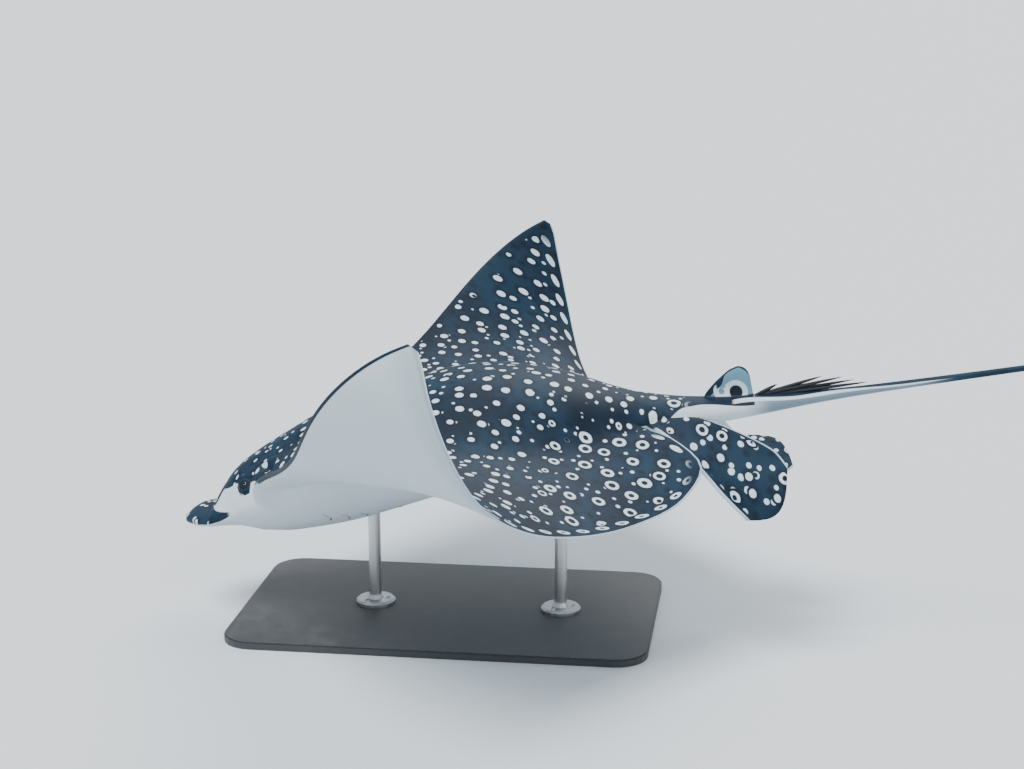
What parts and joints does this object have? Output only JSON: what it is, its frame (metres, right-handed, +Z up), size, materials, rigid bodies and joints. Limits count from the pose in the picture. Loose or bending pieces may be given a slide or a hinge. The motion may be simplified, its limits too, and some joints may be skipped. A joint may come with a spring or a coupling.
{
  "type": "spotted eagle ray museum model",
  "caption": "Life-size spotted eagle ray with raised, curled wings and a long whip tail, held on short rods over a flat display base.",
  "frame": {"origin": "centre of the display base's underside, on the floor", "axes": "+X from the snout to the tail, -Y to the animal's left, +Z up"},
  "size_m": [3.153, 1.2958, 0.5857],
  "materials": {
    "ray_skin": "painted cast resin, satin, slate blue above with white spots and rings, white below",
    "ray_eye": "polished dark eye",
    "stand_painted_metal": "dark grey powder coat on steel plate",
    "stand_brushed_steel": "brushed steel rod"
  },
  "bodies": {
    "root": {"snout_lobe": "ray_skin", "head": "ray_skin", "trunk": "ray_skin", "tail_base": "ray_skin", "tail_middle": "ray_skin", "tail_whip": "ray_skin", "pectoral_fin_left": "ray_skin", "pectoral_fin_right": "ray_skin", "pelvic_fin_left": "ray_skin", "pelvic_fin_right": "ray_skin", "dorsal_fin": "ray_skin", "eye_left": "ray_eye", "eye_right": "ray_eye", "stand_base": "stand_painted_metal", "stand_rod_front": "stand_brushed_steel", "stand_rod_rear": "stand_brushed_steel"}
  },
  "joints": []
}
